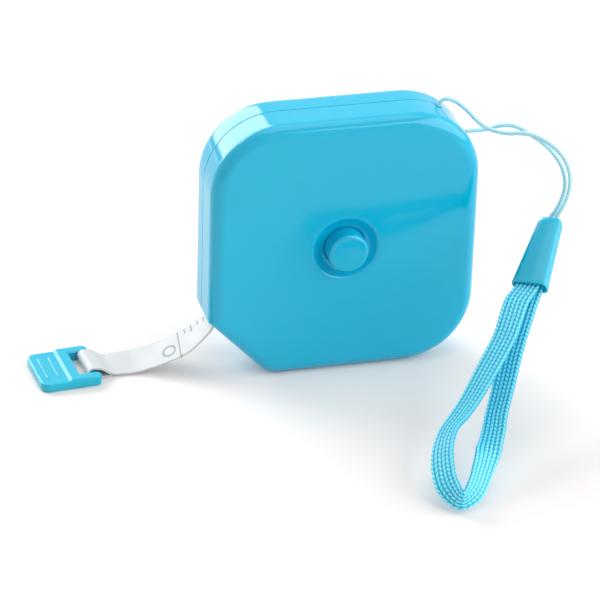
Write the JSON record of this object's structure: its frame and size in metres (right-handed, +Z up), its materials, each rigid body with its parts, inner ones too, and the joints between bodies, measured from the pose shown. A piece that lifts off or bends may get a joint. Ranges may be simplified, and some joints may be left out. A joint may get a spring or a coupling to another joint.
{
  "type": "cloth tape measure",
  "caption": "Pocket cloth tape measure: a rounded plastic case with a push button, a spring reel, a cloth tape with an end tab and a wrist strap.",
  "frame": {"origin": "under the middle of the case, on the flat bottom face of the front shell that the case stands on", "axes": "+X runs from the tape's mouth side across the case, +Z is up, and the front face with the button looks to -Y"},
  "size_m": [0.1003, 0.0708, 0.0527],
  "materials": {
    "case_plastic": "glossy cyan moulded plastic",
    "reel_plastic": "natural white moulded plastic",
    "spring_steel": "bare spring steel",
    "tape_cloth": "white coated fibreglass cloth, satin",
    "strap_cord": "fine braided light cyan cord",
    "strap_webbing": "woven cyan nylon webbing"
  },
  "bodies": {
    "case": {"front_shell": "case_plastic", "rear_shell": "case_plastic", "button_spring": "spring_steel", "mainspring": "spring_steel", "tape_lead": "tape_cloth", "tape_flat": "tape_cloth", "cord_inside": "strap_cord", "cord_upper": "strap_cord", "cord_lower": "strap_cord", "strap_ferrule": "case_plastic", "strap_webbing": "strap_webbing"},
    "button": {"button": "case_plastic"},
    "reel": {"reel": "reel_plastic", "spring_cover": "reel_plastic", "slip_washer": "reel_plastic", "tape_roll": "tape_cloth"},
    "tape_end": {"tape_hem": "tape_cloth"},
    "tab": {"end_tab": "case_plastic"}
  },
  "joints": [
    {"name": "button_press", "type": "slide", "parent": "case", "child": "button", "axis": [0, 1, 0], "range_m": [0, 0.0016], "stiffness_N_per_m": 1000, "springref_m": -0.001, "deforming": ["button_spring"]},
    {"name": "reel_spin", "type": "hinge", "parent": "case", "child": "reel", "pos_m": [0, 0, 0.0263], "axis": [0, -1, 0], "range_deg": [-10.7, 5156], "deforming": ["mainspring"]},
    {"name": "tape_pull", "type": "slide", "parent": "case", "child": "tape_end", "axis": [-1, 0, 0], "range_m": [-0.003, 1.44], "deforming": ["tape_flat"]},
    {"name": "tab_swing", "type": "hinge", "parent": "tape_end", "child": "tab", "pos_m": [-0.04752, 0.002, 0.00125], "axis": [-0.0819, 0.9966, 0], "range_deg": [0, 100]}
  ],
  "couplings": [
    {"joint": "tape_pull", "follows": "reel_spin", "m_per_rad": 0.016}
  ]
}
